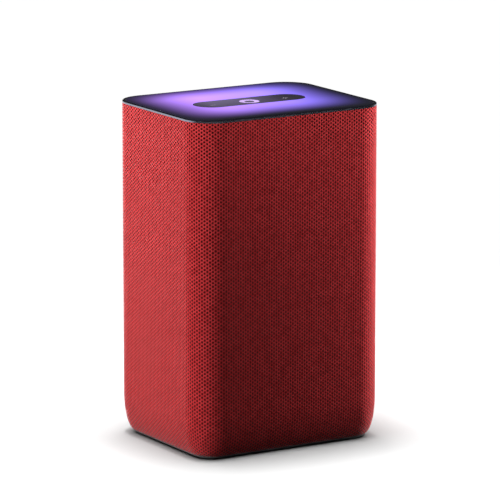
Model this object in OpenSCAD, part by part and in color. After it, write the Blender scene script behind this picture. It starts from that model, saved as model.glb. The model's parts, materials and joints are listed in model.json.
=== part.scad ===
// Table-top smart speaker: knitted sleeve over a slotted shell, lit top panel with three keys,
// sealed cabinet with a woofer, two side radiators and two tweeters, and its two circuit boards.
// The front faces -Y. The origin is the centre of the footprint, on the surface it stands on.

/* [Body] */
// Overall width, left to right
body_w = 134; // [128:1:150]
// Overall depth, front to back
body_d = 108; // [108:1:124]
// Overall height
body_h = 210.5; // [209:0.5:230]
// Radius of the upright corners
corner_r = 19; // [16:0.5:24]
// How far the sleeve draws in at the bottom edge
bottom_inset = 6.5; // [4:0.5:7.5]
// Height over which the bottom edge draws in
bottom_rise = 24; // [18:1:28]

/* [Sleeve and shell] */
// Thickness of the knitted sleeve
fabric_t = 1.2; // [0.8:0.1:1.2]
// Wall of the slotted shell under the sleeve
shell_t = 2; // [1.6:0.1:2]

/* [Top panel] */
// Height of the trim band that shows above the sleeve
trim_band_h = 1.3; // [1:0.1:2]
// Thickness of the smoked glass
glass_t = 2; // [1.6:0.1:2]
// Length of the key strip
strip_l = 77; // [74:1:84]
// Width of the key strip
strip_w = 24; // [23:0.5:26]
// Distance between key centres
key_pitch = 25.6; // [23:0.1:26]
// Diameter of each key
key_d = 17.6; // [16:0.1:17.6]
// How far a key travels down
key_travel = 0.8; // [0.3:0.1:0.9]
// Outer diameter of the lit ring
ring_outer_d = 12.6; // [11:0.1:15]
// Inner diameter of the lit ring
ring_inner_d = 6.2; // [4:0.1:8]

/* [Drivers] */
// Height of the woofer's centre
woofer_z = 91; // [88:1:94]
// Outer radius of the woofer's flange
woofer_flange_r = 46; // [45.5:0.5:47]
// Outer radius of each side radiator's frame
radiator_r = 37; // [36.5:0.5:38]
// Distance of each tweeter from the middle
tweeter_x = 29; // [27:1:31]

/* [Power inlet] */
// Bore of the power socket
inlet_bore_d = 6.4; // [6:0.1:6.6]
// Centre pin of the power socket
inlet_pin_d = 2; // [1.6:0.1:2.5]

/* [Hidden] */
$fn = 64;
eps = 0.01;
gap = 0.2;

// Levels, from the bottom up
foot_h = 1.5;
rim_t = 0.6;
sleeve_z = foot_h + rim_t;
base_top = sleeve_z + 3;
power_board_z = base_top + 4.9;
board_t = 1.6;
cabinet_z = 30;
cabinet_top = 150;
gasket_t = 1;
lid_z = cabinet_top + gasket_t;
lid_t = 4;
lid_top = lid_z + lid_t;
main_board_z = lid_top + 6;
sleeve_top = body_h - trim_band_h - 0.3;
glass_z = body_h - glass_t;
ledge_t = 1.3;
shell_top = glass_z - ledge_t;
diffuser_t = 2.2;
diffuser_z = glass_z - gap - diffuser_t;
strip_top = body_h - 0.2;
strip_z = glass_z - 2.1;
top_board_z = body_h - 9;
top_board_top = top_board_z + board_t;
deck_t = 2;
deck_z = body_h - 14;
deck_top = deck_z + deck_t;
tweeter_z = (lid_top + deck_z) / 2;

// Insets from the outline of the body
shell_out = fabric_t + 0.1;
shell_in = shell_out + shell_t;
skirt_out = shell_in + 0.3;
skirt_in = skirt_out + 1.8;
deck_out = skirt_in + 0.3;
deck_in = deck_out + 2;
glass_in = 2;
base_in = bottom_inset + gap;

// The cabinet inside the shell
cab_x = 54;
cab_front = -41;
cab_back = 46;
cab_mid = (cab_front + cab_back) / 2;
cab_w = 2 * cab_x;
cab_d = cab_back - cab_front;
cab_r = 8;
cab_wall = 3;
baffle_t = 6;

// Woofer radii and depths, measured behind the baffle's outer face
flange_t = 3;
recess_d = flange_t + 0.8;
woofer_cut_r = 40.6;
screw_circle_r = 43.4;
cone_r = 33.4;
coil_r = 13.2;
roll_r = 35.6;
plate_z = -25;
magnet_z = -29;
yoke_z = -39;

// Screw and post sizes
screw_r = 1.2;
screw_hole_r = 1.3;
head_r = 2.4;
head_h = 1.3;

// Places of repeated fixings, [x, y]
foot_posts = [for (x = [-44, 44], y = [-32, 34]) [x, y]];
deck_posts = [for (x = [-49, 49], y = [-25, 27]) [x, y]];
lid_fixings = concat([for (x = [-20, 20], y = [-31.5, 39.5]) [x, y]], [for (x = [-47.5, 47.5]) [x, 6]]);
main_standoffs = [for (x = [-38, 38], y = [-10, 38]) [x, y]];
power_standoffs = [for (x = [-33, 33], y = [13, 42]) [x, y]];
board_posts = [for (x = [-50, 0, 50], y = [-37, 37]) [x, y]];
mic_places = [for (x = [-34, 34], y = [-40.5, 40.5]) [x, y]];
strip_legs = concat([for (x = [-1, 1]) [x * (strip_l / 2 - 1), 0]],
                    [for (x = [-key_pitch / 2, key_pitch / 2], y = [-11.4, 11.4]) [x, y]]);
led_places = concat([for (x = [-45:15:45], y = [-30, -21, 21, 30]) [x, y]],
                    [for (x = [-48, 48], y = [-10, 0, 10]) [x, y]]);
lead_hole = [10, -5];

// The rear connector plate
port_z = 18;
port_w = 38;
port_h = 13;
port_back = body_d / 2 - 1.4;
port_front = port_back - 2;
inlet_x = -9;
inlet_l = 12;
slider_x = 8;
slider_travel = 2;

// ---------- Shared shapes ----------

// A rectangle with true round corners
module round_rect(w, d, r) {
  square([w - 2 * r, d], center = true);
  square([w, d - 2 * r], center = true);
  for (x = [-1, 1], y = [-1, 1])
    translate([x * (w / 2 - r), y * (d / 2 - r)]) circle(r);
}

// A slot shape with half-round ends
module pill(l, w) {
  square([l - w, w], center = true);
  for (x = [-1, 1]) translate([x * (l - w) / 2, 0]) circle(w / 2);
}

// The body's outline, drawn in by an inset, between two levels
module slab(inset, z0, z1) {
  translate([0, 0, z0]) linear_extrude(z1 - z0)
    round_rect(body_w - 2 * inset, body_d - 2 * inset, corner_r - inset);
}

// A profile carried round a rounded rectangle. Its x is the distance in from the outline, its y is height
module edge_ring(w, d, r) {
  for (q = [0:3]) {
    half_x = q % 2 == 0 ? w / 2 : d / 2;
    half_y = q % 2 == 0 ? d / 2 : w / 2;
    rotate([0, 0, 90 * q]) {
      translate([half_x, 0, 0]) rotate([90, 0, 0])
        linear_extrude(2 * (half_y - r), center = true) mirror([1, 0]) children();
      translate([half_x - r, half_y - r, 0])
        rotate_extrude(angle = 90) translate([r, 0]) mirror([1, 0]) children();
    }
  }
}

// The chamfer that is cut off the top edge of a rounded slab
module top_chamfer(inset, z1, c) {
  edge_ring(body_w - 2 * inset, body_d - 2 * inset, corner_r - inset)
    polygon([[-1, z1 - c - 1], [-1, z1 + 1], [c + 1, z1 + 1]]);
}

// A point of the wall's section, a depth in from the outer face. Its angle is 0 at the bottom edge and
// 90 where the sides are upright
function wall_point(a, depth) = let (side_way = [bottom_rise * sin(a), bottom_inset * cos(a)])
  [bottom_inset * (1 - sin(a)), sleeve_z + bottom_rise * (1 - cos(a))] + depth * side_way / norm(side_way);

// A wall that follows the body's shape between two depths, up to a level. Its inner face begins at a
// start angle
module wall(depth0, depth1, start, top) {
  edge_ring(body_w, body_d, corner_r) polygon(concat(
    [for (a = [0:10:90]) wall_point(a, depth0)],
    [[depth0, top], [depth1, top]],
    [for (a = [90:-10:start]) wall_point(a, depth1)]
  ));
}

module at(places, z) {
  for (p = places) translate([p[0], p[1], z]) children();
}

// A pan-head screw, standing on z = 0 with its shank down
module screw(r, length, head, height) {
  cylinder(r = head, h = height);
  translate([0, 0, -length]) cylinder(r = r, h = length + eps);
}

// Frames of the drivers: +Z points out of the object and z = 0 is the outer face of the wall
module woofer_frame() {
  translate([0, cab_front, woofer_z]) rotate([90, 0, 0]) children();
}

module radiator_frame(side) {
  translate([side * cab_x, cab_mid, woofer_z]) rotate([0, side * 90, 0]) children();
}

module tweeter_frame(side) {
  translate([side * tweeter_x, cab_front, tweeter_z]) rotate([90, 0, 0]) children();
}

// The rear connector plate's frame: +Z points out of the back
module port_frame() {
  translate([0, port_front, port_z]) rotate([-90, 0, 0]) children();
}

// A ring of rectangular section
module ring(r0, r1, z0, z1) {
  translate([0, 0, z0]) difference() {
    cylinder(r = r1, h = z1 - z0);
    translate([0, 0, -1]) cylinder(r = r0, h = z1 - z0 + 2);
  }
}

// A half roll of rubber between two lips, turned about Z
module half_roll(mid_r, outer, thickness, lip_in, lip_out, z0) {
  rotate_extrude() translate([0, z0]) {
    intersection() {
      translate([mid_r, 0]) difference() {
        circle(outer);
        circle(outer - thickness);
      }
      translate([mid_r - outer - 1, 0]) square([2 * outer + 2, outer + 1]);
    }
    translate([lip_in, 0]) square([mid_r - outer - lip_in + thickness, thickness]);
    translate([mid_r + outer - thickness, 0])
      square([lip_out - mid_r - outer + thickness, thickness]);
  }
}

// ---------- Sleeve, shell and base ----------

module port_window(extra) {
  translate([0, body_d / 2, port_z]) rotate([90, 0, 0])
    linear_extrude(16, center = true) pill(port_w + extra, port_h + extra);
}

module fabric_sleeve() {
  color("firebrick") difference() {
    wall(0, fabric_t, 0, sleeve_top);
    port_window(0.8);
  }
}

slot_pitch = 11;
slot_w = 7;
slot_z0 = cabinet_z + 6;
slot_z1 = deck_z - 12;

// Upright sound slots through one wall, spread over a width
module sound_slots(count) {
  for (i = [0:count - 1])
    translate([(i - (count - 1) / 2) * slot_pitch - slot_w / 2, -10, slot_z0])
      cube([slot_w, 20, slot_z1 - slot_z0]);
}

module grille_shell() {
  color("dimgray") difference() {
    wall(shell_out, shell_in, 30, shell_top);
    translate([0, -body_d / 2, 0]) sound_slots(8);
    for (x = [-1, 1]) translate([x * body_w / 2, 0, 0]) rotate([0, 0, 90]) sound_slots(6);
    port_window(0.4);
  }
}

module base_plate() {
  color("gray") difference() {
    union() {
      slab(bottom_inset - 0.3, foot_h, sleeve_z);
      slab(base_in, foot_h, base_top);
      at(power_standoffs, base_top - eps) cylinder(r = 3, h = power_board_z - base_top + eps);
    }
    at(foot_posts, foot_h - 1) cylinder(r = 1.8, h = 10);
    at(foot_posts, foot_h - 1) cylinder(r = 3.4, h = 2.9);
    at(power_standoffs, base_top - 1.5) cylinder(r = screw_hole_r, h = 8);
  }
}

module foot_ring() {
  foot_in = bottom_inset + 3;
  foot_w = 7;
  color([0.06, 0.06, 0.06])
    edge_ring(body_w - 2 * foot_in, body_d - 2 * foot_in, corner_r - foot_in)
      polygon([[0.5, 0], [foot_w, 0], [foot_w, foot_h], [0, foot_h], [0, 0.5]]);
}

module base_screws() {
  color("silver") at(foot_posts, foot_h + 1.9) mirror([0, 0, 1]) screw(1.6, 11, 3.2, 1.6);
}

// ---------- Top panel ----------

module top_trim() {
  color("slategray") edge_ring(body_w, body_d, corner_r)
    polygon([
      [0, sleeve_top], [0, body_h - 0.6], [0.3, body_h - 0.3], [glass_in - 0.1, body_h - 0.3],
      [glass_in - 0.1, glass_z], [skirt_in, glass_z], [skirt_in, deck_z + 4],
      [skirt_out, deck_z + 4], [skirt_out, shell_top], [shell_out, shell_top], [shell_out, sleeve_top]
    ]);
}

module top_glass() {
  color([0.1, 0.08, 0.2]) difference() {
    slab(glass_in, glass_z, body_h);
    top_chamfer(glass_in, body_h, 0.4);
    translate([0, 0, glass_z - 1]) linear_extrude(glass_t + 2) pill(strip_l + 0.4, strip_w + 0.4);
    at(mic_places, glass_z - 1) cylinder(r = 0.5, h = glass_t + 2);
  }
}

module light_diffuser() {
  color("white") difference() {
    slab(deck_out, diffuser_z, diffuser_z + diffuser_t);
    translate([0, 0, diffuser_z - 1]) linear_extrude(diffuser_t + 2) pill(strip_l + 4, strip_w + 4);
    at(mic_places, diffuser_z - 1) cylinder(r = 2.7, h = diffuser_t + 2);
  }
}

key_places = [for (i = [-1, 0, 1]) [i * key_pitch, 0]];

module keypad_plate() {
  color([0.2, 0.19, 0.22]) difference() {
    union() {
      translate([0, 0, strip_z]) linear_extrude(strip_top - strip_z) pill(strip_l, strip_w);
      translate([0, 0, strip_z]) linear_extrude(glass_z - gap - strip_z) pill(strip_l + 3, strip_w + 3);
      at(strip_legs, top_board_top) cylinder(r = 1.2, h = strip_z - top_board_top + eps);
    }
    at(key_places, strip_z - 1) cylinder(d = key_d + 0.4, h = 6);
  }
}

shoulder_top = strip_z - 0.1;
shoulder_z = shoulder_top - 1.1;
groove_z = shoulder_z + 0.8;
dish_depth = 0.45;
key_color = [0.17, 0.16, 0.19];

// The section of a key's face between two radii, dished towards the middle
function dished(r0, r1, steps) = [for (i = [0:steps]) let (r = r0 + (r1 - r0) * i / steps)
  [r, strip_top - dish_depth * (1 - pow(2 * r / key_d, 2))]];

module key_blank() {
  rim_r = key_d / 2;
  rotate_extrude() polygon(concat(dished(0, rim_r, 8), [
    [rim_r, shoulder_top], [rim_r + 1.2, shoulder_top], [rim_r + 1.2, shoulder_z], [0, shoulder_z]
  ]));
}

module side_key(side) {
  color(key_color) translate([side * key_pitch, 0, 0]) key_blank();
}

module action_key() {
  color(key_color) difference() {
    key_blank();
    ring(ring_inner_d / 2, ring_outer_d / 2, groove_z, body_h + 2);
  }
}

module action_light_ring() {
  inner = ring_inner_d / 2 + 0.05;
  outer = ring_outer_d / 2 - 0.05;
  color("plum") rotate_extrude()
    polygon(concat(dished(inner, outer, 4), [[outer, groove_z], [inner, groove_z]]));
}

module dome_mat() {
  color("lightgray") {
    translate([0, 0, top_board_top]) linear_extrude(0.6) pill(strip_l - 7, strip_w - 4);
    at(key_places, top_board_top + 0.6 - eps)
      cylinder(r1 = 5, r2 = 2.8, h = shoulder_z - top_board_top - 0.6 + eps);
  }
}

module top_board() {
  connector = [14, 4, 2.4];
  color("darkgreen") {
    difference() {
      slab(deck_in + 0.3, top_board_z, top_board_top);
      at(board_posts, top_board_z - 1) cylinder(r = screw_hole_r + 0.2, h = 4);
    }
    translate([ribbon_x - connector[0] / 2, ribbon_y - connector[1] / 2, top_board_z - connector[2]])
      cube(connector);
  }
}

module status_leds() {
  color("white") at(led_places, top_board_top) translate([-1.75, -1.4, 0]) cube([3.5, 2.8, 1.2]);
}

mic_size = [4, 3, 1];

module microphones() {
  color("gold") at(mic_places, top_board_top) translate([-mic_size[0] / 2, -mic_size[1] / 2, 0])
    difference() {
      cube(mic_size);
      translate([mic_size[0] / 2, mic_size[1] / 2, 0.6]) cylinder(r = 0.4, h = 2);
    }
}

module mic_boots() {
  boot_z = top_board_top + mic_size[2];
  color("black") at(mic_places, 0) ring(0.8, 2.4, boot_z, glass_z);
}

module top_board_screws() {
  color("silver") at(board_posts, top_board_top) screw(screw_r, 4.5, 2.2, 1.2);
}

// ---------- Upper deck ----------

ribbon_x = -30;
ribbon_y = -6;

module top_deck() {
  color("black") difference() {
    slab(deck_out, deck_z, diffuser_z);
    slab(deck_in, deck_top, diffuser_z + 1);
    translate([ribbon_x - 8, ribbon_y - 4, deck_z - 1]) cube([16, 8, deck_t + 2]);
    at(deck_posts, deck_z - 1) cylinder(r = screw_hole_r + 0.2, h = 5);
    at(board_posts, deck_z - 1) cylinder(r = screw_hole_r, h = 5);
  }
  color("black") at(board_posts, deck_top - eps) ring(screw_hole_r, 3.2, 0, top_board_z - deck_top + eps);
}

module deck_screws() {
  color("silver") at(deck_posts, deck_top) screw(screw_r, 10, 2.2, head_h);
}

// ---------- Cabinet ----------

module cabinet_outline(inset, z0, z1) {
  translate([0, cab_mid, z0]) linear_extrude(z1 - z0)
    round_rect(cab_w - 2 * inset, cab_d - 2 * inset, cab_r - inset);
}

module cabinet_hollow() {
  front = cab_front + baffle_t;
  back = cab_back - cab_wall;
  translate([0, (front + back) / 2, cabinet_z + cab_wall]) linear_extrude(cabinet_top - cabinet_z)
    round_rect(cab_w - 2 * cab_wall, back - front, cab_r - cab_wall);
}

module cabinet() {
  color([0.15, 0.15, 0.16]) difference() {
    union() {
      difference() {
        cabinet_outline(0, cabinet_z, cabinet_top);
        cabinet_hollow();
      }
      at(foot_posts, base_top) cylinder(r = 5, h = cabinet_z - base_top + 1);
      intersection() {
        at(lid_fixings, cabinet_top - 12) cylinder(r = 4, h = 12);
        cabinet_outline(1, cabinet_z, cabinet_top);
      }
    }
    at(foot_posts, base_top - 1) cylinder(r = 1.7, h = 12);
    at(lid_fixings, cabinet_top - 9) cylinder(r = screw_hole_r, h = 12);
    woofer_frame() {
      translate([0, 0, -recess_d]) cylinder(r = woofer_flange_r + 0.3, h = recess_d + 1);
      translate([0, 0, -20]) cylinder(r = woofer_cut_r, h = 21);
      woofer_fixings(-10) cylinder(r = screw_hole_r, h = 12);
    }
    for (side = [-1, 1]) radiator_frame(side) {
      translate([0, 0, -10]) cylinder(r = radiator_r - 2.6, h = 11);
      radiator_fixings(-5) cylinder(r = 1.1, h = 6);
    }
  }
}

module cabinet_gasket() {
  color("black") translate([0, cab_mid, 0]) edge_ring(cab_w - 0.8, cab_d - 0.8, cab_r - 0.4)
    polygon([[0, cabinet_top], [2.2, cabinet_top], [2.2, lid_z], [0, lid_z]]);
}

module cabinet_lid() {
  color([0.15, 0.15, 0.16]) difference() {
    union() {
      cabinet_outline(0, lid_z, lid_top);
      at(deck_posts, lid_top - eps) cylinder(r = 3.5, h = deck_z - lid_top + eps);
      at(main_standoffs, lid_top - eps) cylinder(r = 3, h = main_board_z - lid_top + eps);
    }
    at(deck_posts, deck_z - 9) cylinder(r = screw_hole_r, h = 10);
    at(main_standoffs, lid_top + 1) cylinder(r = screw_hole_r, h = 8);
    at(lid_fixings, lid_z - 1) cylinder(r = screw_hole_r + 0.2, h = lid_t + 2);
    at([lead_hole], lid_z - 1) cylinder(r = 5, h = lid_t + 2);
  }
}

module lid_screws() {
  color("silver") at(lid_fixings, lid_top) screw(screw_r, 12, 2.2, head_h);
}

module lid_grommet() {
  color("black") at([lead_hole], 0) {
    ring(2.9, 4.9, lid_z, lid_top);
    ring(2.9, 6.4, lid_top, lid_top + 1);
  }
}

module damping_foam() {
  color("gray") translate([-42, cab_back - cab_wall - 12, cabinet_z + 8]) cube([84, 11.8, 100]);
}

// ---------- Woofer ----------

module woofer_fixings(z) {
  for (a = [45:90:315]) rotate([0, 0, a]) translate([screw_circle_r, 0, z]) children();
}

module woofer_basket() {
  color([0.2, 0.2, 0.2]) woofer_frame() difference() {
    rotate_extrude() polygon([
      [37.9, 0], [woofer_flange_r, 0], [woofer_flange_r, -flange_t], [40.2, -flange_t], [40.2, -6],
      [28.5, -19], [28.5, plate_z], [15, plate_z], [15, plate_z + 2], [26.5, plate_z + 2],
      [26.5, -20], [23.5, -20], [23.5, -18], [26.6, -18], [37.9, -5.5]
    ]);
    for (a = [0:60:300]) rotate([0, 0, a]) translate([24, -7, -16.8]) cube([20, 14, 9.6]);
    woofer_fixings(-5) cylinder(r = screw_hole_r + 0.2, h = 6);
  }
}

module woofer_gasket() {
  color("black") woofer_frame() difference() {
    ring(woofer_cut_r + 0.1, woofer_flange_r, -recess_d, -flange_t);
    woofer_fixings(-6) cylinder(r = screw_hole_r + 0.3, h = 6);
  }
}

module woofer_top_plate() {
  color("silver") woofer_frame() ring(coil_r + 1.2, 30, magnet_z, plate_z);
}

module woofer_magnet() {
  color([0.25, 0.25, 0.27]) woofer_frame() ring(17, 35, yoke_z, magnet_z);
}

module woofer_yoke() {
  color("silver") woofer_frame() {
    translate([0, 0, yoke_z - 4]) cylinder(r = 32, h = 4);
    translate([0, 0, yoke_z - eps]) cylinder(r = coil_r - 1, h = 14.5);
  }
}

module woofer_voice_coil() {
  color("darkorange") woofer_frame() {
    ring(coil_r - 0.5, coil_r, -34.5, -13);
    ring(coil_r - 0.2, coil_r + 0.6, -31, -23);
  }
}

// The spider's corrugations, as a band of even thickness
spider_steps = 36;
function spider_r(i) = coil_r + 0.1 + (26.3 - coil_r - 0.1) * i / spider_steps;
function spider_w(i) = -17.25 - 0.75 * cos(360 * 3 * i / spider_steps);

module woofer_spider() {
  color("goldenrod") woofer_frame() rotate_extrude() polygon(concat(
    [for (i = [0:spider_steps]) [spider_r(i), spider_w(i)]],
    [for (i = [spider_steps:-1:0]) [spider_r(i), spider_w(i) + 0.4]]
  ));
}

module woofer_cone() {
  color([0.12, 0.12, 0.13]) woofer_frame() rotate_extrude() polygon([
    [cone_r, 0], [31.4, 0], [coil_r + 0.1, -12.9], [coil_r + 0.1, -13.9], [30.9, -0.9], [cone_r, -0.9]
  ]);
}

cap_r = 20;
cap_edge = 14.2;
cap_z = -12.1 - sqrt(pow(cap_r, 2) - pow(cap_edge, 2));
function arc(r, z, a0, a1, steps) = [for (i = [0:steps])
  let (a = a0 + (a1 - a0) * i / steps) [r * sin(a), z + r * cos(a)]];

module woofer_dust_cap() {
  edge = asin(cap_edge / cap_r);
  color([0.1, 0.1, 0.11]) woofer_frame() rotate_extrude()
    polygon(concat(arc(cap_r, cap_z, 0, edge, 16), arc(cap_r - 0.6, cap_z, edge, 0, 16)));
}

module woofer_surround() {
  color([0.05, 0.05, 0.05]) woofer_frame() half_roll(roll_r, 2.9, 0.6, 31.6, 40.4, 0);
}

module woofer_screws() {
  color("silver") woofer_frame() woofer_fixings(0) screw(screw_r, 9, 2.2, 1.2);
}

// A smooth line through points, and the round tube that follows it
function blend(a, b, c, d, t) = 0.5 * ((2 * b) + (c - a) * t + (2 * a - 5 * b + 4 * c - d) * t * t
  + (3 * b - a - 3 * c + d) * t * t * t);
function smooth(p, steps) = let (n = len(p) - 1) concat(
  [for (i = [0:n - 1], s = [0:steps - 1])
    blend(p[max(i - 1, 0)], p[i], p[i + 1], p[min(i + 2, n)], s / steps)], [p[n]]);
function unit(v) = v / norm(v);
function heading(p, i) = unit(p[min(i + 1, len(p) - 1)] - p[max(i - 1, 0)]);

module tube(p, r, sides) {
  rings = len(p);
  side_way = [1, 0, 0];
  points = [for (i = [0:rings - 1], k = [0:sides - 1])
    let (t = heading(p, i), v = unit(cross(t, side_way)), u = cross(v, t), a = 360 * k / sides)
    p[i] + r * (cos(a) * u + sin(a) * v)];
  walls = [for (i = [0:rings - 2], k = [0:sides - 1]) let (n = (k + 1) % sides)
    [i * sides + k, i * sides + n, (i + 1) * sides + n, (i + 1) * sides + k]];
  quads = [for (w = walls) each [[w[0], w[1], w[2]], [w[0], w[2], w[3]]]];
  start = [for (k = [1:sides - 2]) [0, k + 1, k]];
  last = (rings - 1) * sides;
  finish = [for (k = [1:sides - 2]) [last, last + k, last + k + 1]];
  polyhedron(points, concat(quads, start, finish));
}

// The route of the woofer's leads, from its terminals up through the lid
lead_route = [
  [0, -20.4, 120.4], [0, -20.2, 128], [3, -15, 140], [9, -6, 148], [10, -5, 154], [10, -5, 158]
];

module woofer_leads() {
  color("red") for (x = [-1.5, 1.5])
    tube([for (p = smooth(lead_route, 4)) p + [x, 0, 0]], 0.8, 8);
}

// ---------- Side radiators ----------

module radiator_fixings(z) {
  for (a = [45:90:315]) rotate([0, 0, a]) translate([radiator_r - 1.8, 0, z]) children();
}

radiator_hole_r = radiator_r - 6;
radiator_front = 2;

module radiator_ring(side) {
  color([0.2, 0.2, 0.2]) radiator_frame(side) difference() {
    union() {
      ring(radiator_hole_r, radiator_r, 0, radiator_front);
      ring(radiator_hole_r, radiator_r - 2.8, -cab_wall, eps);
    }
    radiator_fixings(-1) cylinder(r = 1.2, h = 4);
  }
}

module radiator_surround(side) {
  color([0.05, 0.05, 0.05]) radiator_frame(side)
    half_roll(radiator_r - 8.8, 2.8, 0.5, radiator_r - 14, radiator_r - 3.9, radiator_front);
}

module radiator_plate(side) {
  color([0.12, 0.12, 0.13]) radiator_frame(side) {
    translate([0, 0, radiator_front - 1.4]) cylinder(r = radiator_r - 11.8, h = 1.4);
    translate([0, 0, radiator_front - 5.4]) cylinder(r = 12, h = 4 + eps);
  }
}

module radiator_screws() {
  color("silver") for (side = [-1, 1]) radiator_frame(side)
    radiator_fixings(radiator_front) screw(1, 6, 1.5, 0.8);
}

// ---------- Tweeters ----------

module upper_baffle() {
  color([0.15, 0.15, 0.16]) difference() {
    translate([-cab_x + 1, cab_front, lid_top]) cube([cab_w - 2, cab_wall, deck_z - lid_top]);
    for (side = [-1, 1]) tweeter_frame(side) translate([0, 0, -5]) cylinder(r = 13.2, h = 6);
  }
}

tweeter_dome_r = 9.6;

module tweeter_motor(side) {
  color([0.2, 0.2, 0.2]) tweeter_frame(side) difference() {
    union() {
      translate([0, 0, -14]) cylinder(r = 13, h = 14 + eps);
      cylinder(r = 17, h = 2);
    }
    ring(tweeter_dome_r - 0.9, tweeter_dome_r + 0.6, -8, 3);
    translate([0, 0, -0.5]) cylinder(r = tweeter_dome_r + 0.6, h = 4);
    for (x = [-15, 15]) translate([x, 0, 1]) cylinder(r = 1, h = 2);
  }
}

module tweeter_dome(side) {
  cap = 12;
  cap_base = 0.9;
  centre = cap_base - sqrt(pow(cap, 2) - pow(tweeter_dome_r, 2));
  edge = asin(tweeter_dome_r / cap);
  color("black") tweeter_frame(side) {
    rotate_extrude() polygon(concat(arc(cap, centre, 0, edge, 12), arc(cap - 0.5, centre, edge, 0, 12)));
    ring(tweeter_dome_r - 0.5, tweeter_dome_r, -4, cap_base);
    ring(tweeter_dome_r - 0.5, tweeter_dome_r + 0.4, cap_base - 0.5, cap_base - 0.1);
  }
}

// ---------- Main board ----------

board_w = 84;
board_front = -14;
board_back = 42;

module main_board() {
  parts = main_board_z + board_t - eps;
  board_d = board_back - board_front;
  color("darkgreen") {
    difference() {
      translate([-board_w / 2, board_front, main_board_z]) cube([board_w, board_d, board_t]);
      at(main_standoffs, main_board_z - 1) cylinder(r = screw_hole_r + 0.2, h = 4);
    }
    translate([-8, 11, parts]) cube([16, 16, 1]);
    translate([22, 22, parts]) cube([12, 12, 5]);
    translate([22, 4, parts]) cube([12, 12, 5]);
    translate([24, -8, parts]) cube([9, 7, 6]);
    translate([ribbon_x - 7, ribbon_y - 2, parts]) cube([14, 4, 2.4]);
    for (y = [12:9:30]) translate([-34, y, parts]) cylinder(r = 3.5, h = 9);
    translate([lead_hole[0] - 5, lead_hole[1] - 3, main_board_z - 3]) cube([10, 6, 3 + eps]);
  }
}

heat_sink_z = main_board_z + board_t + 1;

module heat_sink() {
  color("silver") {
    translate([-22, 2, heat_sink_z]) cube([40, 34, 3]);
    for (x = [-22:5.4:16]) translate([x, 2, heat_sink_z + 3 - eps]) cube([1.6, 34, 12]);
  }
}

// The flat cable's gentle bow between its two connectors
ribbon_z0 = main_board_z + board_t + 2.4;
ribbon_z1 = top_board_z - 2.4;
ribbon_steps = 16;
function ribbon_point(i, side) = [
  ribbon_y + 2 * sin(360 * i / ribbon_steps) + side * 0.2,
  ribbon_z0 + (ribbon_z1 - ribbon_z0) * i / ribbon_steps
];

module ribbon_cable() {
  color("white") translate([ribbon_x + 6, 0, 0]) rotate([90, 0, -90]) linear_extrude(12)
    mirror([1, 0]) polygon(concat(
      [for (i = [0:ribbon_steps]) ribbon_point(i, -1)],
      [for (i = [ribbon_steps:-1:0]) ribbon_point(i, 1)]
    ));
}

// ---------- Power board and rear plate ----------

module power_board() {
  parts = power_board_z + board_t - eps;
  color("darkgreen") {
    difference() {
      translate([-37, 9, power_board_z]) cube([74, 37.5, board_t]);
      at(power_standoffs, power_board_z - 1) cylinder(r = screw_hole_r + 0.2, h = 4);
    }
    for (x = [-24, -12]) translate([x, 18, parts]) cylinder(r = 5, h = 14);
    translate([0, 13, parts]) cube([12, 12, 7]);
    translate([17, 14, parts]) cube([9, 9, 5]);
    translate([-26, 28, parts]) cube([8, 8, 3]);
    translate([16, 28, parts]) cube([10, 6, 6]);
  }
}

module board_screws() {
  color("silver") {
    at(main_standoffs, main_board_z + board_t) screw(screw_r, 6, 2.2, 1.2);
    at(power_standoffs, power_board_z + board_t) screw(screw_r, 5, 2.2, 1.2);
  }
}

module dc_inlet() {
  body = [11, inlet_l, port_z - power_board_z - board_t + 5.5];
  color([0.08, 0.08, 0.08]) difference() {
    translate([inlet_x - body[0] / 2, port_front - body[1], power_board_z + board_t]) cube(body);
    port_frame() translate([inlet_x, 0, -body[1] + 2]) cylinder(d = inlet_bore_d, h = body[1]);
  }
  color("silver") port_frame() translate([inlet_x, 0, -body[1] + 2 - eps])
    cylinder(d = inlet_pin_d, h = 6.8);
}

module rear_panel() {
  tab_z = power_board_z + board_t;
  color([0.1, 0.1, 0.1]) difference() {
    union() {
      port_frame() linear_extrude(port_back - port_front) pill(port_w, port_h);
      for (x = [-15.6, 15.6]) translate([x - 0.8, port_front, 0]) rotate([90, 0, 90])
        linear_extrude(1.6) polygon([
          [-7, tab_z], [-2.6, tab_z], [-2.6, port_z - 4.6], [eps, port_z - 4.6], [eps, port_z + 3],
          [-7, port_z + 3]
        ]);
    }
    port_frame() translate([inlet_x, 0, -1]) cylinder(r = 4.4, h = 5);
    port_frame() translate([slider_x + slider_travel / 2, 0, -1])
      linear_extrude(5) pill(6 + slider_travel, 3.2);
  }
}

module mute_switch() {
  body = [11, 5, port_z - power_board_z - board_t + 3];
  centre = slider_x + slider_travel / 2;
  color("silver") difference() {
    translate([centre - body[0] / 2, port_front - 1.4 - body[1], power_board_z + board_t]) cube(body);
    port_frame() translate([centre, 0, -4.4]) linear_extrude(5)
      square([3 + slider_travel, 2.4], center = true);
  }
}

module mic_slider() {
  color("red") port_frame() translate([slider_x, 0, 0]) {
    translate([0, 0, -eps]) linear_extrude(port_back - port_front + 0.6 + eps) pill(5.6, 2.8);
    translate([-4.5, -2.6, -1.1]) cube([9, 5.2, 1]);
    translate([-1, -0.9, -4]) cube([2, 1.8, 4]);
  }
}

// ---------- Assembly ----------

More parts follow.
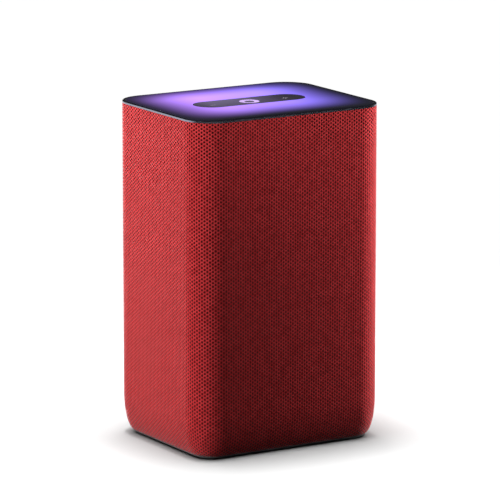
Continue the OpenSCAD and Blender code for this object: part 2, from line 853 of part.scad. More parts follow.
fabric_sleeve();
grille_shell();
base_plate();
foot_ring();
base_screws();
top_trim();
top_glass();
light_diffuser();
keypad_plate();
side_key(-1);  // volume_down_key
action_key();
action_light_ring();
side_key(1);  // volume_up_key
dome_mat();
top_board();
status_leds();
microphones();
mic_boots();
top_board_screws();
top_deck();
deck_screws();
cabinet();
cabinet_gasket();
cabinet_lid();
lid_screws();
lid_grommet();
damping_foam();
woofer_basket();
woofer_gasket();
woofer_top_plate();
woofer_magnet();
woofer_yoke();
woofer_voice_coil();
woofer_spider();
woofer_cone();
woofer_dust_cap();
woofer_surround();
woofer_screws();
woofer_leads();
radiator_ring(-1);  // left_radiator_frame
radiator_surround(-1);  // left_radiator_surround
radiator_plate(-1);  // left_radiator_plate
radiator_ring(1);  // right_radiator_frame
radiator_surround(1);  // right_radiator_surround
radiator_plate(1);  // right_radiator_plate
radiator_screws();
upper_baffle();
tweeter_motor(-1);  // left_tweeter_motor
tweeter_dome(-1);  // left_tweeter_dome
tweeter_motor(1);  // right_tweeter_motor
tweeter_dome(1);  // right_tweeter_dome
main_board();
heat_sink();
ribbon_cable();
power_board();
board_screws();
dc_inlet();
rear_panel();
mute_switch();
mic_slider();
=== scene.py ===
"""The looks of a table-top smart speaker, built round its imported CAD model. Lengths are in metres.

The front faces -Y, the left side faces -X and +Z is up.
"""

import json
import math

import bpy
import numpy as np
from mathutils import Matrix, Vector


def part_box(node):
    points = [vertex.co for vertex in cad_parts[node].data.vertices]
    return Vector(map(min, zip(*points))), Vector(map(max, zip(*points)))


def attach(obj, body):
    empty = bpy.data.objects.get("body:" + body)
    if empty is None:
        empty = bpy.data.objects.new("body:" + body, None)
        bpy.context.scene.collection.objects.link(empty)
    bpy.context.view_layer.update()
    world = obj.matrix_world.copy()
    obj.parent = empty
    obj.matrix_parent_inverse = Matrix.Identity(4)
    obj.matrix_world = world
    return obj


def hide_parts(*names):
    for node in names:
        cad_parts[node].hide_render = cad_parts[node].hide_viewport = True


MM = 0.001

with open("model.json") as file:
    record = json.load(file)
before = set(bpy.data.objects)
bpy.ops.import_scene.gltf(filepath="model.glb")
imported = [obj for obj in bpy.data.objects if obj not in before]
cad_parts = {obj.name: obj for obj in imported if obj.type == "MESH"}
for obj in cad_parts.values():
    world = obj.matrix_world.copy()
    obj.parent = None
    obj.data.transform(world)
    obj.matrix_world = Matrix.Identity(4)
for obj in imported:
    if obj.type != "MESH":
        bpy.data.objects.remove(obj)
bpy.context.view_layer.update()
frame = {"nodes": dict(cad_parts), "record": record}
nodes = frame["nodes"]
low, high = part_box("fabric_sleeve")
trim_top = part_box("top_trim")[1].z
half_w, half_d = high.x, high.y


# ---------- Camera ----------

CAMERA_AZIMUTH = math.radians(-31.24)
CAMERA_ELEVATION = math.radians(11.56)
CAMERA_DISTANCE = 2.5755
CAMERA_LENS = 299.4
SIDE_STEP = 0.45 * MM
UP_STEP = 10.4 * MM


def make_camera():
    a, e = CAMERA_AZIMUTH, CAMERA_ELEVATION
    back = Vector((math.sin(a) * math.cos(e), -math.cos(a) * math.cos(e), math.sin(e)))
    right = Vector((math.cos(a), math.sin(a), 0))
    up = back.cross(right)
    middle = Vector((0, 0, (low.z + trim_top) / 2))
    data = bpy.data.cameras.new("camera")
    data.lens = CAMERA_LENS
    data.clip_end = 20
    camera = bpy.data.objects.new("camera", data)
    camera.location = middle + back * CAMERA_DISTANCE + right * SIDE_STEP + up * UP_STEP
    camera.rotation_euler = (-back).to_track_quat("-Z", "Y").to_euler()
    bpy.context.scene.collection.objects.link(camera)
    bpy.context.scene.camera = camera


make_camera()


# ---------- Short names for building materials ----------


class Nodes:
    """The node tree of a material or a world. A socket is fed a number, a colour or another socket."""

    def __init__(self, holder, shader):
        holder.use_nodes = True
        self.holder = holder
        self.tree = holder.node_tree
        self.shader = self.tree.nodes[shader]

    def add(self, kind, **settings):
        node = self.tree.nodes.new("ShaderNode" + kind)
        for key, value in settings.items():
            setattr(node, key, value)
        return node

    def feed(self, socket, value):
        if isinstance(value, bpy.types.NodeSocket):
            self.tree.links.new(value, socket)
        elif isinstance(value, tuple) and len(value) == 3 and socket.type == "RGBA":
            socket.default_value = (*value, 1)
        else:
            socket.default_value = value

    def set(self, **values):
        """Sets or links the shader's own sockets, named with _ for a space."""
        for name, value in values.items():
            self.feed(self.shader.inputs[name.replace("_", " ")], value)

    def math(self, operation, *values):
        node = self.add("Math", operation=operation)
        for socket, value in zip(node.inputs, values):
            self.feed(socket, value)
        return node.outputs[0]

    def ramp(self, value, start, end, first=0.0, last=1.0):
        """A smooth change from first to last as value goes from start to end."""
        node = self.add("MapRange", interpolation_type="SMOOTHSTEP")
        for socket, item in zip(node.inputs, (value, start, end, first, last)):
            self.feed(socket, item)
        return node.outputs[0]

    def mix(self, share, first, second):
        """A colour that goes from first to second as share goes from 0 to 1."""
        node = self.add("Mix", data_type="RGBA")
        self.feed(node.inputs[0], share)
        self.feed(node.inputs[6], first)
        self.feed(node.inputs[7], second)
        return node.outputs[2]

    def place(self, scale=(1, 1, 1)):
        """Object coordinates, stretched by a scale."""
        node = self.add("Mapping")
        self.feed(node.inputs["Vector"], self.add("TexCoord").outputs["Object"])
        self.feed(node.inputs["Scale"], scale)
        return node.outputs[0]

    def split(self, vector):
        """The X, Y and Z of a vector."""
        node = self.add("SeparateXYZ")
        self.feed(node.inputs[0], vector)
        return node.outputs

    def noise(self, size, detail, scale=(1, 1, 1)):
        """Noise whose patches are about size across."""
        node = self.add("TexNoise")
        self.feed(node.inputs["Vector"], self.place(scale))
        self.feed(node.inputs["Scale"], 1 / size)
        self.feed(node.inputs["Detail"], detail)
        return node.outputs[0]

    def cells(self, size):
        """Distance from the middle of the nearest of many scattered cells."""
        node = self.add("TexVoronoi")
        self.feed(node.inputs["Vector"], self.place())
        self.feed(node.inputs["Scale"], 1 / size)
        return node.outputs[0]

    def bump(self, height, depth, strength=1.0):
        node = self.add("Bump")
        self.feed(node.inputs["Height"], height)
        self.feed(node.inputs["Distance"], depth)
        self.feed(node.inputs["Strength"], strength)
        self.feed(self.shader.inputs["Normal"], node.outputs[0])


def surface(name):
    """The nodes of a new material, which is their holder."""
    return Nodes(bpy.data.materials.new(name), "Principled BSDF")


def varied(n, colour, amount, size):
    """A colour that drifts lighter and darker by amount over patches of a size."""
    dark = tuple(c * (1 - amount) for c in colour)
    light = tuple(min(1.0, c * (1 + amount)) for c in colour)
    return n.mix(n.noise(size, 3), dark, light)


# ---------- Materials ----------


def moulded(name, colour, roughness):
    """Moulded plastic with a fine spark-eroded grain and faint handling marks."""
    n = surface(name)
    marks = n.noise(18 * MM, 4)
    n.set(
        Base_Color=varied(n, colour, 0.12, 9 * MM),
        Roughness=n.ramp(marks, 0.3, 0.75, roughness - 0.07, roughness + 0.07),
    )
    n.bump(n.noise(0.35 * MM, 2), 0.012 * MM, 0.6)
    return n.holder


def glossy(name, colour):
    """Smooth, shiny plastic with a slight orange-peel surface."""
    n = surface(name)
    n.set(
        Base_Color=varied(n, colour, 0.08, 12 * MM),
        Roughness=n.ramp(n.noise(7 * MM, 3), 0.3, 0.7, 0.154, 0.286),
        Coat_Weight=0.3,
    )
    n.bump(n.noise(2.5 * MM, 1), 0.01 * MM, 0.3)
    return n.holder


def rubbery(name, colour, roughness=0.75):
    """Soft rubber or silicone: dull, dusty and finely pitted."""
    n = surface(name)
    n.set(
        Base_Color=varied(n, colour, 0.2, 6 * MM),
        Roughness=n.ramp(n.noise(4 * MM, 4), 0.3, 0.7, roughness - 0.1, roughness + 0.1),
        Sheen_Weight=0.15,
        Sheen_Roughness=0.5,
    )
    n.bump(n.cells(0.5 * MM), 0.02 * MM, 0.4)
    return n.holder


def metal(name, colour, roughness, brush=(1, 1, 60)):
    """Bare or plated metal, with brushed lines that run across the axis with the highest scale."""
    n = surface(name)
    lines = n.noise(2 * MM, 3, brush)
    n.set(
        Base_Color=varied(n, colour, 0.06, 14 * MM),
        Metallic=1.0,
        Roughness=n.ramp(lines, 0.3, 0.7, roughness * 0.75, roughness * 1.3),
    )
    n.bump(lines, 0.004 * MM, 0.3)
    return n.holder


def satin_trim():
    """Blue-grey anodised aluminium, satin, with faint lines that run round the band."""
    n = surface("trim_metal")
    n.set(
        Base_Color=varied(n, (0.36, 0.38, 0.47), 0.05, 25 * MM),
        Metallic=1.0,
        Roughness=n.ramp(n.noise(12 * MM, 3), 0.3, 0.7, 0.24, 0.32),
    )
    n.bump(n.noise(9 * MM, 2, (1, 1, 12)), 0.002 * MM, 0.1)
    return n.holder


def screw_metal():
    """Zinc-plated steel with a yellowish blotch here and there."""
    n = surface("screw_steel")
    n.set(
        Base_Color=n.mix(n.noise(1.5 * MM, 2), (0.46, 0.46, 0.48), (0.66, 0.63, 0.55)),
        Metallic=1.0,
        Roughness=n.ramp(n.noise(0.6 * MM, 3), 0.3, 0.7, 0.25, 0.45),
    )
    return n.holder


def circuit_board():
    """Green solder mask with paler copper runs under it, and small solder pads."""
    n = surface("board_green")
    brick = n.add("TexBrick", offset=0.5)
    n.feed(brick.inputs["Vector"], n.place())
    n.feed(brick.inputs["Scale"], 90.0)
    n.feed(brick.inputs["Mortar Size"], 0.06)
    n.feed(brick.inputs["Color1"], (0.012, 0.12, 0.045))
    n.feed(brick.inputs["Color2"], (0.010, 0.10, 0.040))
    n.feed(brick.inputs["Mortar"], (0.03, 0.24, 0.09))
    pads = n.ramp(n.cells(3.2 * MM), 0.16, 0.10)
    n.set(
        Base_Color=n.mix(pads, brick.outputs[0], (0.70, 0.68, 0.62)),
        Metallic=n.math("MULTIPLY", pads, 0.9),
        Roughness=n.ramp(n.noise(3 * MM, 2), 0.3, 0.7, 0.28, 0.42),
    )
    n.bump(brick.outputs[1], 0.02 * MM, 0.5)
    return n.holder


def cloth(name, colour, pitch):
    """A fine plain weave of crossed threads."""
    n = surface(name)
    x, y, z = n.split(n.place())
    turn = math.tau / pitch
    warp = n.math("SINE", n.math("MULTIPLY", n.math("ADD", x, y), turn))
    weft = n.math("SINE", n.math("MULTIPLY", z, turn))
    weave = n.math("MULTIPLY", warp, weft)
    dark = tuple(c * 0.6 for c in colour)
    n.set(
        Base_Color=n.mix(n.ramp(weave, -1.0, 1.0), dark, colour),
        Roughness=0.85,
        Sheen_Weight=0.2,
        Sheen_Roughness=0.5,
    )
    n.bump(weave, 0.05 * MM, 0.6)
    return n.holder


def pressed_paper():
    """The cone's pressed pulp, with long fibres in it."""
    n = surface("cone_paper")
    fibres = n.noise(1.2 * MM, 5, (1, 3, 1))
    n.set(
        Base_Color=n.mix(fibres, (0.012, 0.012, 0.014), (0.045, 0.045, 0.05)),
        Roughness=n.ramp(fibres, 0.3, 0.7, 0.6, 0.85),
    )
    n.bump(fibres, 0.05 * MM, 0.5)
    return n.holder


def foam():
    """Open-cell wadding."""
    n = surface("grey_foam")
    pores = n.cells(1.6 * MM)
    n.set(
        Base_Color=n.mix(n.ramp(pores, 0.1, 0.6), (0.05, 0.05, 0.055), (0.30, 0.30, 0.32)),
        Roughness=0.95,
    )
    n.bump(pores, 0.4 * MM, 0.8)
    return n.holder


def ferrite():
    """Sintered magnet material, with a sparkle of grains."""
    n = surface("ferrite")
    n.set(
        Base_Color=varied(n, (0.05, 0.05, 0.055), 0.3, 2 * MM),
        Metallic=0.3,
        Roughness=n.ramp(n.noise(0.5 * MM, 4), 0.3, 0.7, 0.4, 0.7),
    )
    n.bump(n.noise(0.8 * MM, 4), 0.03 * MM, 0.6)
    return n.holder


WIRE_PITCH = 0.35 * MM


def winding():
    """Enamelled copper wire in close turns along Y."""
    n = surface("coil_copper")
    _, y, _ = n.split(n.place())
    turns = n.math("SINE", n.math("MULTIPLY", y, math.tau / WIRE_PITCH))
    n.set(
        Base_Color=n.mix(n.ramp(turns, -1.0, 1.0), (0.20, 0.06, 0.02), (0.72, 0.30, 0.12)),
        Metallic=0.9,
        Roughness=0.3,
    )
    n.bump(turns, 0.1 * MM, 0.7)
    return n.holder


def lit(name, colour, glow, strength, size=2 * MM):
    """Translucent plastic with a lamp behind it, a little uneven."""
    n = surface(name)
    n.set(
        Base_Color=varied(n, colour, 0.05, size),
        Roughness=0.45,
        Emission_Color=varied(n, glow, 0.06, size),
        Emission_Strength=strength,
    )
    return n.holder


def lit_glass():
    """Smoked glass over a violet glow, which is pinker to the left and fades out towards the edges."""
    n = surface("smoked_glass")
    x, y, _ = n.split(n.place())

    # The glow fades out to the left, right, front and back, and it is a little stronger towards the back
    fades = (
        n.ramp(x, -68 * MM, -20 * MM),
        n.ramp(x, 66 * MM, 16 * MM),
        n.ramp(y, -51 * MM, -14 * MM),
        n.ramp(y, 56 * MM, 22 * MM),
        n.ramp(y, -20 * MM, 30 * MM, 1.45, 1.8),
    )
    glow = fades[0]
    for fade in fades[1:]:
        glow = n.math("MULTIPLY", glow, fade)
    hue = n.mix(n.ramp(x, -55 * MM, 45 * MM), (0.47, 0.23, 1.0), (0.27, 0.19, 1.0))
    n.set(
        Base_Color=varied(n, (0.010, 0.010, 0.018), 0.2, 20 * MM),
        Roughness=n.ramp(n.noise(30 * MM, 3), 0.3, 0.7, 0.06, 0.12),
        Emission_Color=hue,
        Emission_Strength=glow,
    )
    return n.holder


def keypad(name, colour):
    """Soft-touch plastic with a painted glow on it, most of it at the left."""
    n = surface(name)
    x, y, _ = n.split(n.place())
    # Painted glow: a faint lilac emission, brightest just left of the middle and stronger towards the
    # back
    glow = n.math("MULTIPLY", n.ramp(x, 36 * MM, -12 * MM), n.ramp(x, -46 * MM, -20 * MM))
    n.set(
        Base_Color=varied(n, colour, 0.1, 6 * MM),
        Roughness=n.ramp(n.noise(14 * MM, 4), 0.3, 0.75, 0.40, 0.52),
        Emission_Color=(0.62, 0.52, 0.90),
        Emission_Strength=n.math("MULTIPLY", glow, n.ramp(y, -12 * MM, 12 * MM, 0.11, 0.2)),
    )
    n.bump(n.noise(0.25 * MM, 2), 0.008 * MM, 0.6)
    return n.holder


# ---------- The knit ----------

# The net: how many columns and rows of holes, and how much the holes' sizes and places vary
COLUMNS = 268
ROWS = 91
HOLE_R = 0.57 * MM
HOLE_SPREAD = 0.14
HOLE_SHIFT = 0.07 * MM
SEED = 11

# How far the sides of the loops sink below their crowns, and the backing below the knit
YARN_RELIEF = 0.16 * MM
BACKING_DEPTH = 0.7 * MM

# The body's corners, its drawn-in bottom edge, and the connector window
CORNER_R = 19 * MM
EDGE_IN = 6.5 * MM
EDGE_RISE = 24 * MM
EDGE_STEPS = 120
PORT_GAP = 0.3 * MM
HEM_R = 0.5 * MM
HEM_STEPS = 72
HEM_SIDES = 8

# A face is left out when twice its area is less than this, in square metres
LEAST_AREA = 1e-9

flat_w = 2 * (half_w - CORNER_R)
flat_d = 2 * (half_d - CORNER_R)
quarter = CORNER_R * math.pi / 2
around = 2 * flat_w + 2 * flat_d + 4 * quarter
column_step = around / COLUMNS

# The wall's section from the top edge down: how far it has drawn in, its height, and the way along it
section_turn = np.linspace(math.pi / 2, 0, EDGE_STEPS)
section_in = np.concatenate([[0], EDGE_IN * (1 - np.sin(section_turn))])
section_z = np.concatenate([[high.z], low.z + EDGE_RISE * (1 - np.cos(section_turn))])
section_t = np.concatenate([[0], np.cumsum(np.hypot(np.diff(section_in), np.diff(section_z)))])
wall_length = section_t[-1]
row_step = wall_length / ROWS

# The window in the back for the connector plate
port_low, port_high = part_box("rear_panel")
port_z = (port_low.z + port_high.z) / 2
port_r = (port_high.z - port_low.z) / 2 + PORT_GAP
port_straight = (port_high.x - port_low.x) / 2 + PORT_GAP - port_r


def outline(s):
    """For distances round the body, counter-clockwise from the middle of the back: points of the core,
    which the surface stands a corner's radius away from, and the ways out from them."""
    sides = [flat_w / 2, quarter, flat_d, quarter, flat_w, quarter, flat_d, quarter, flat_w / 2]
    ends = np.cumsum(sides)
    s = np.mod(s, around)
    side = np.minimum(np.searchsorted(ends, s, side="right"), len(sides) - 1)
    along = s - (ends - sides)[side]
    on_corner = side % 2 == 1
    angle = math.pi / 2 * (1 + side // 2 + np.where(on_corner, along / quarter, 0))
    out = np.stack([np.cos(angle), np.sin(angle)], axis=1)
    run = np.stack([-out[:, 1], out[:, 0]], axis=1)
    start_x = np.array([0, -1, -1, -1, -1, 1, 1, 1, 1])[side] * flat_w / 2
    start_y = np.array([1, 1, 1, -1, -1, -1, -1, 1, 1])[side] * flat_d / 2
    core = np.stack([start_x, start_y], axis=1)
    return core + np.where(on_corner, 0, along)[:, None] * run, out


def on_wall(s, t, depth):
    """The points at distances s round the body and t down its wall, sunk by a depth."""
    core, out = outline(s)
    inset = np.interp(t, section_t, section_in) + depth
    flat = core + out * (CORNER_R - inset)[:, None]
    return np.column_stack([flat, np.interp(t, section_t, section_z)])


def back_y(z, depth):
    """Where the back of the wall is at heights z."""
    return half_d - depth - np.interp(z, section_z[::-1], section_in[::-1])


def cut_window(points, faces, depth):
    """Takes out the faces in the connector window, and draws the points at its edge onto its outline."""
    middle = np.clip(points[:, 0], -port_straight, port_straight)
    away = np.stack([points[:, 0] - middle, points[:, 2] - port_z], axis=1)
    distance = np.linalg.norm(away, axis=1)
    inside = (distance < port_r) & (points[:, 1] > 0)
    kept = [face for face in faces if not np.all(inside[face])]
    edge = away / np.maximum(distance, 0.01 * MM)[:, None] * port_r
    points[inside, 0] = (middle + edge[:, 0])[inside]
    points[inside, 2] = (port_z + edge[:, 1])[inside]
    points[inside, 1] = back_y(points[inside, 2], depth)
    return kept


def new_piece(name, points, faces, material, body="enclosure", smooth=True):
    """A mesh piece that rides on a body, without the points that no face uses."""
    used, corners = np.unique(np.concatenate(faces), return_inverse=True)
    ends = np.cumsum([len(face) for face in faces])[:-1]
    mesh = bpy.data.meshes.new(name)
    loops = [face.tolist() for face in np.split(corners, ends)]
    mesh.from_pydata(np.asarray(points)[used].tolist(), [], loops)
    mesh.polygons.foreach_set("use_smooth", [smooth] * len(mesh.polygons))
    mesh.materials.append(material)
    piece = bpy.data.objects.new(name, mesh)
    bpy.context.scene.collection.objects.link(piece)
    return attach(piece, body)


def knit_net():
    """The net's lattice places, depths and faces. Each hole is a ring of six points, each strip of yarn
    joins the facing sides of two holes, and a triangle fills each place where three strips meet."""
    columns, rows = np.arange(COLUMNS), np.arange(-1, ROWS + 1)
    column, row, corner = np.meshgrid(columns, rows, np.arange(6), indexing="ij")
    chance = np.random.default_rng(SEED)
    shape = (COLUMNS, len(rows), 1)
    radius = HOLE_R * chance.uniform(1 - HOLE_SPREAD, 1 + HOLE_SPREAD, shape)
    angle = corner * math.pi / 3
    across = radius * np.cos(angle) + chance.uniform(-HOLE_SHIFT, HOLE_SHIFT, shape)
    down = chance.uniform(-HOLE_SHIFT, HOLE_SHIFT, shape) - radius * np.sin(angle)
    u = column + across / column_step
    v = np.clip(row + 0.5 + 0.5 * (column % 2) + down / row_step, 0, ROWS)
    depth = YARN_RELIEF * np.abs(np.sin(angle))

    def ring(c, r, k):
        return ((c % COLUMNS) * len(rows) + r + 1) * 6 + k

    c, r = (grid.ravel() for grid in np.meshgrid(columns, rows, indexing="ij"))
    up = (c, r - 1)
    right_up = (c + 1, r - 1 + c % 2)
    right_down = (c + 1, r + c % 2)
    here = (c, r)
    patterns = [
        [(here, 2), (here, 1), (up, 5), (up, 4)],
        [(here, 1), (here, 0), (right_up, 4), (right_up, 3)],
        [(here, 0), (here, 5), (right_down, 3), (right_down, 2)],
        [(here, 0), (right_down, 2), (right_up, 4)],
        [(here, 1), (right_up, 3), (up, 5)],
    ]
    faces = []
    for pattern in patterns:
        made = np.stack([ring(*hole, k) for hole, k in pattern], axis=1)
        real = np.all([(hole[1] >= -1) & (hole[1] <= ROWS) for hole, _ in pattern], axis=0)
        faces.extend(made[real])
    return u.ravel(), v.ravel(), depth.ravel(), faces


def has_area(points, face):
    """Whether a face has area left after its points were held inside the sleeve's edges."""
    corners = points[face]
    spokes = corners[1:] - corners[0]
    return np.linalg.norm(np.cross(spokes[:-1], spokes[1:]), axis=1).sum() > LEAST_AREA


def write_lattice(piece, u, v, faces):
    """A UV map that holds each corner's place in the lattice, counted in columns and rows."""
    pairs = []
    for face in faces:
        columns = u[face]
        if np.ptp(columns) > COLUMNS / 2:
            columns = np.where(columns < COLUMNS / 2, columns + COLUMNS, columns)
        pairs.append(np.stack([columns, v[face]], axis=1))
    layer = piece.data.uv_layers.new(name="lattice")
    layer.data.foreach_set("uv", np.concatenate(pairs).astype(np.float32).ravel())


def knit_sleeve(material, hem):
    """The open knit itself, in the place of the CAD model's plain sleeve."""
    u, v, depth, faces = knit_net()
    points = on_wall(u * column_step, v * row_step, depth)
    faces = cut_window(points, faces, 0)
    faces = [face for face in faces if has_area(points, face)]
    sleeve = new_piece("knit_sleeve", points, faces, material)
    write_lattice(sleeve, u, v, faces)
    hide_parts("fabric_sleeve")


def knit_backing(material):
    """The finer, darker cloth that is bonded to the knit's back and shows through its holes."""
    columns = COLUMNS // 2
    grids = np.meshgrid(np.arange(columns), np.arange(ROWS + 1), indexing="ij")
    column, row = (grid.ravel() for grid in grids)
    points = on_wall(column * around / columns, row * row_step, BACKING_DEPTH)
    here = (column * (ROWS + 1) + row)[row < ROWS]
    beside = (here + ROWS + 1) % len(points)
    faces = list(np.stack([here, here + 1, beside + 1, beside], axis=1))
    faces = cut_window(points, faces, BACKING_DEPTH)
    backing = new_piece("knit_backing", points, faces, material)
    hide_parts("fabric_sleeve")


def window_hem(material):
    """The rolled edge of the knit round the connector window."""
    turn = np.arange(HEM_STEPS) / HEM_STEPS * math.tau
    way_x, way_z = np.cos(turn), np.sin(turn)
    middle_x = np.sign(np.round(way_x, 6)) * port_straight
    rings = []
    for k in range(HEM_SIDES):
        a = math.tau * k / HEM_SIDES
        radius = port_r + HEM_R * math.cos(a)
        z = port_z + way_z * radius
        y = back_y(z, 0) + HEM_R * math.sin(a)
        rings.append(np.stack([middle_x + way_x * radius, y, z], axis=1))
    grids = np.meshgrid(np.arange(HEM_SIDES), np.arange(HEM_STEPS), indexing="ij")
    k, i = (grid.ravel() for grid in grids)
    here, there = k * HEM_STEPS, (k + 1) % HEM_SIDES * HEM_STEPS
    beyond = (i + 1) % HEM_STEPS
    faces = list(np.stack([here + i, here + beyond, there + beyond, there + i], axis=1))
    hem = new_piece("window_hem", np.concatenate(rings), faces, material)
    return hem


def knit_material():
    """Red yarn looped round open holes, with painted shade that darkens it towards their rims and
    painted highlights that brighten the crowns of the loops.
    """
    n = surface("red_knit")
    u, v, _ = n.split(n.add("UVMap", uv_map="lattice").outputs[0])

    def from_hole(column, row):
        """The distance, in mm, to the nearest hole in every second column. One is at column, row."""
        across = n.math("WRAP", n.math("SUBTRACT", u, column), 1.0, -1.0)
        down = n.math("WRAP", n.math("SUBTRACT", v, row), 0.5, -0.5)
        across = n.math("MULTIPLY", across, column_step / MM)
        down = n.math("MULTIPLY", down, row_step / MM)
        squares = [n.math("POWER", way, 2.0) for way in (across, down)]
        return n.math("SQRT", n.math("ADD", *squares))

    # Painted shade: this mask darkens the yarn from the crowns of the loops towards the holes' rims, and
    # it also shapes the bump
    crown_and_rim_shade = n.ramp(n.math("MINIMUM", from_hole(0.0, 0.5), from_hole(1.0, 0.0)), 0.5, 1.05)

    # Painted shade and highlight: each stitch is darkened by a random amount, for loops turned
    # differently to the light, and a painted highlight runs down the crowns between columns
    column = n.math("ROUND", u)
    shifted = n.math("ADD", v, n.math("MULTIPLY", n.math("MODULO", column, 2.0), 0.5))
    stitch = n.add("CombineXYZ")
    n.feed(stitch.inputs[0], column)
    n.feed(stitch.inputs[1], n.math("FLOOR", shifted))
    painted_stitch_shade = n.add("TexWhiteNoise")
    n.feed(painted_stitch_shade.inputs["Vector"], stitch.outputs[0])
    painted_rib_highlight = n.math("ABSOLUTE", n.math("SUBTRACT", n.math("FRACT", u), 0.5))
    painted_rib_highlight = n.ramp(painted_rib_highlight, 0.22, 0.0)

    fibre = n.noise(0.28 * MM, 3)
    # Painted shade: dark red at the holes' rims, the yarn's red on the crowns
    yarn = n.mix(crown_and_rim_shade, (0.11, 0.006, 0.008), (0.46, 0.030, 0.033))
    # Painted highlight down the crowns between columns
    yarn = n.mix(n.math("MULTIPLY", painted_rib_highlight, 0.4), yarn, (0.60, 0.052, 0.056))
    # Painted highlight: the yarn is lighter in patches of the fine fibre noise
    yarn = n.mix(n.ramp(fibre, 0.35, 0.7, 0.0, 0.3), yarn, (0.62, 0.057, 0.062))
    # Painted shade: each stitch darker by a random amount
    yarn = n.mix(n.ramp(painted_stitch_shade.outputs[0], 0.0, 1.0, 0.0, 0.35), yarn, (0.16, 0.002, 0.003))
    n.set(
        Base_Color=yarn,
        Roughness=n.ramp(fibre, 0.3, 0.7, 0.65, 0.85),
        Specular_IOR_Level=0.1,
        Sheen_Weight=0.35,
        Sheen_Roughness=0.3,
        Sheen_Tint=(1.0, 0.75, 0.75, 1),
    )
    n.bump(n.math("ADD", crown_and_rim_shade, n.math("MULTIPLY", fibre, 0.35)), 0.3 * MM, 0.8)
    return n.holder


def hem_material():
    """The knit's own yarn, wound close."""
    n = surface("hem_yarn")
    strands = n.noise(0.5 * MM, 3, (2.5, 1, 1))
    n.set(
        Base_Color=n.mix(strands, (0.20, 0.004, 0.006), (0.46, 0.022, 0.025)),
        Roughness=0.8,
        Specular_IOR_Level=0.25,
        Sheen_Weight=0.2,
    )
    n.bump(strands, 0.2 * MM, 0.7)
    return n.holder


knit_sleeve(knit_material(), window_hem(hem_material()))
knit_backing(cloth("backing_cloth", (0.07, 0.0008, 0.0016), 0.7 * MM))


# ---------- Materials of the CAD pieces ----------

MATERIALS = {
    "black_plastic": moulded("black_plastic", (0.018, 0.018, 0.020), 0.55),
    "base_plastic": moulded("base_plastic", (0.06, 0.055, 0.055), 0.6),
    "foot_rubber": rubbery("foot_rubber", (0.012, 0.012, 0.013)),
    "trim_metal": satin_trim(),
    "smoked_glass": lit_glass(),
    "diffuser_white": lit("diffuser_white", (0.80, 0.75, 0.92), (0.45, 0.22, 1.0), 0.8, 8 * MM),
    "keypad_grey": keypad("keypad_grey", (0.034, 0.030, 0.044)),
    "key_grey": keypad("key_grey", (0.033, 0.029, 0.043)),
    "ring_light": lit("ring_light", (0.30, 0.25, 0.36), (0.62, 0.40, 0.95), 0.72),
    "silicone": rubbery("silicone", (0.42, 0.42, 0.44), 0.5),
    "soft_rubber": rubbery("soft_rubber", (0.015, 0.015, 0.017), 0.6),
    "board_green": circuit_board(),
    "led_white": lit("led_white", (0.9, 0.88, 0.95), (0.55, 0.35, 1.0), 3.0),
    "mic_gold": metal("mic_gold", (0.78, 0.57, 0.22), 0.3),
    "screw_steel": screw_metal(),
    "plated_steel": metal("plated_steel", (0.55, 0.55, 0.57), 0.3),
    "ferrite": ferrite(),
    "coil_copper": winding(),
    "amber_cloth": cloth("amber_cloth", (0.55, 0.32, 0.09), 0.9 * MM),
    "cone_paper": pressed_paper(),
    "grey_foam": foam(),
    "red_wire": glossy("red_wire", (0.50, 0.02, 0.02)),
    "flat_cable": glossy("flat_cable", (0.75, 0.75, 0.78)),
    "sink_metal": metal("sink_metal", (0.62, 0.63, 0.65), 0.35, (1, 40, 1)),
    "slider_red": glossy("slider_red", (0.55, 0.03, 0.02)),
}

for part in frame["record"]["subparts"]:
    material = MATERIALS.get(part["material_slot"])
    if material:
        piece = nodes[part["node"]]
        piece.data.materials.clear()
        piece.data.materials.append(material)


# ---------- Marks on the keys ----------

MARK_LENGTH = 3.6 * MM
MARK_WIDTH = 0.75 * MM
MARK_DEPTH = 0.4 * MM
MARK_HALF_THICKNESS = 0.03 * MM
END_STEPS = 8


def bar_outline():
    """Points round a bar with half-round ends, along X."""
    turns = np.concatenate([np.linspace(-90, 90, END_STEPS), np.linspace(90, 270, END_STEPS)])
    reach = (MARK_LENGTH - MARK_WIDTH) / 2
    ends = np.repeat([reach, -reach], END_STEPS)
    a = np.radians(turns)
    return np.column_stack([ends + np.cos(a) * MARK_WIDTH / 2, np.sin(a) * MARK_WIDTH / 2])


def mark(name, body, key, turns, material):
    """Thin printed bars in the dish of a key's face, each turned by an angle."""
    low_key, high_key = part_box(key)
    centre = (low_key + high_key) / 2
    face_z = high_key.z - MARK_DEPTH
    points, faces = [], []
    for angle in turns:
        c, s = math.cos(angle), math.sin(angle)
        flat = bar_outline() @ np.array([[c, s], [-s, c]]) + np.array([centre.x, centre.y])
        count, base = len(flat), len(points)
        for z in (face_z - MARK_HALF_THICKNESS, face_z + MARK_HALF_THICKNESS):
            points.extend([(px, py, z) for px, py in flat])
        faces.append([base + count + i for i in range(count)])
        faces.append([base + i for i in reversed(range(count))])
        for i in range(count):
            j = (i + 1) % count
            faces.append([base + i, base + j, base + count + j, base + count + i])
    piece = new_piece(name, points, faces, material, body, smooth=False)


mark_light = lit("mark_light", (0.30, 0.28, 0.33), (0.62, 0.55, 0.75), 0.1)
mark("minus_mark", "volume_down", "volume_down_key", [0], mark_light)
mark("plus_mark", "volume_up", "volume_up_key", [0, math.pi / 2], mark_light)


# ---------- Floor, world and lights ----------

FLOOR_R = 0.65
FLOOR_SIDES = 96
FLOOR_TONE = 0.25
FLOOR_BOUNCE = 0.02
BACKGROUND_SEEN = 0.98
BACKDROP_MIRRORED = 0.9
AMBIENT = 0.03


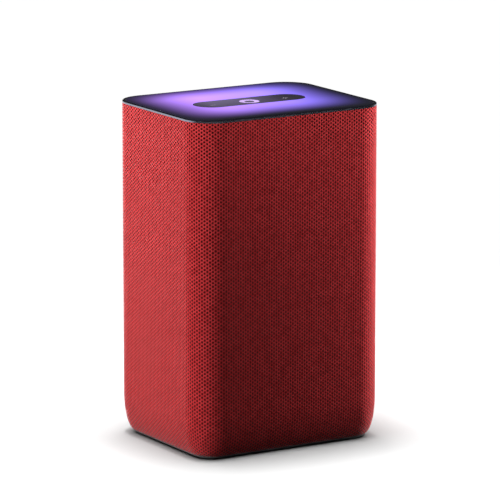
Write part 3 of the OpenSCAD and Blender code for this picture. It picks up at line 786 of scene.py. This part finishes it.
def make_floor():
    """A white table that fades into the background. It gives the object only a little light back."""
    n = surface("floor")
    away = n.add("VectorMath", operation="LENGTH")
    n.feed(away.inputs[0], n.place())
    bounced = n.add("LightPath").outputs["Is Diffuse Ray"]
    n.set(
        Base_Color=n.mix(bounced, (FLOOR_TONE,) * 3, (FLOOR_BOUNCE,) * 3),
        Roughness=0.9,
        Specular_IOR_Level=0.1,
        Alpha=n.ramp(away.outputs["Value"], 0.95 * FLOOR_R, 0.6 * FLOOR_R),
    )
    turns = np.linspace(0, math.tau, FLOOR_SIDES, endpoint=False)
    rim = [(FLOOR_R * math.cos(a), FLOOR_R * math.sin(a), 0) for a in turns]
    mesh = bpy.data.meshes.new("floor")
    mesh.from_pydata(rim, [], [range(FLOOR_SIDES)])
    mesh.materials.append(n.holder)
    floor = bpy.data.objects.new("floor", mesh)
    bpy.context.scene.collection.objects.link(floor)
    return floor


def make_world():
    """White where the camera looks past the floor, dim elsewhere, and in reflections white low down at
    the back, where a pale backdrop would stand."""
    n = Nodes(bpy.data.worlds.new("studio"), "Background")
    _, y, z = n.split(n.add("TexCoord").outputs["Generated"])
    backdrop = n.math("MULTIPLY", n.ramp(y, -0.1, 0.5), n.ramp(z, 0.08, -0.06))
    paths = n.add("LightPath").outputs
    pale = n.math("MULTIPLY", backdrop, BACKDROP_MIRRORED)
    mirrored = n.math("MULTIPLY", paths["Is Glossy Ray"], pale)
    seen = n.math("MULTIPLY", paths["Is Camera Ray"], BACKGROUND_SEEN)
    strength = n.math("ADD", seen, n.math("ADD", mirrored, AMBIENT))
    n.set(Color=(1.0, 1.0, 1.0), Strength=strength)
    bpy.context.scene.world = n.holder


def area_light(name, place, target, size, power, floor_link="EXCLUDE"):
    """A soft box of a width, height and power in watts, which faces a target. It lights everything but
    the floor, or the floor alone, and isn't seen itself, in reflections either."""
    data = bpy.data.lights.new(name, "AREA")
    data.shape = "RECTANGLE"
    data.size, data.size_y = size
    data.energy = power
    light = bpy.data.objects.new(name, data)
    light.visible_camera = False
    light.visible_glossy = False
    light.location = place
    light.rotation_euler = (Vector(target) - Vector(place)).to_track_quat("-Z", "Y").to_euler()
    bpy.context.scene.collection.objects.link(light)
    group = bpy.data.collections.new(name + "_links")
    group.objects.link(floor)
    group.collection_objects[0].light_linking.link_state = floor_link
    light.light_linking.receiver_collection = group


floor = make_floor()
make_world()

# One pool of light on the floor and an even wash over it
area_light("floor_spot", (-0.02, 0.07, 1.6), (-0.02, 0.07, 0), (0.32, 0.32), 56, "INCLUDE")
area_light("floor_wash", (0, 0, 1.5), (0, 0, 0), (3, 3), 150, "INCLUDE")

# A large light at the left, and small ones that pick out the far edge, the top and the right corner
area_light("key", (-1.2, 0.07, 0.5), (0, 0, 0.1), (0.9, 0.9), 26)
area_light("left_back", (-0.15, 0.24, 0.25), (-0.065, 0, 0.13), (0.06, 0.35), 1.7)
area_light("front_top", (0.03, -0.134, 0.28), (0.03, -0.054, 0.13), (0.3, 0.05), 0.19)
area_light("right_rim", (0.23, -0.073, 0.13), (0.05, -0.03, 0.11), (0.05, 0.3), 1.5)

bpy.context.scene.view_settings.view_transform = "Standard"
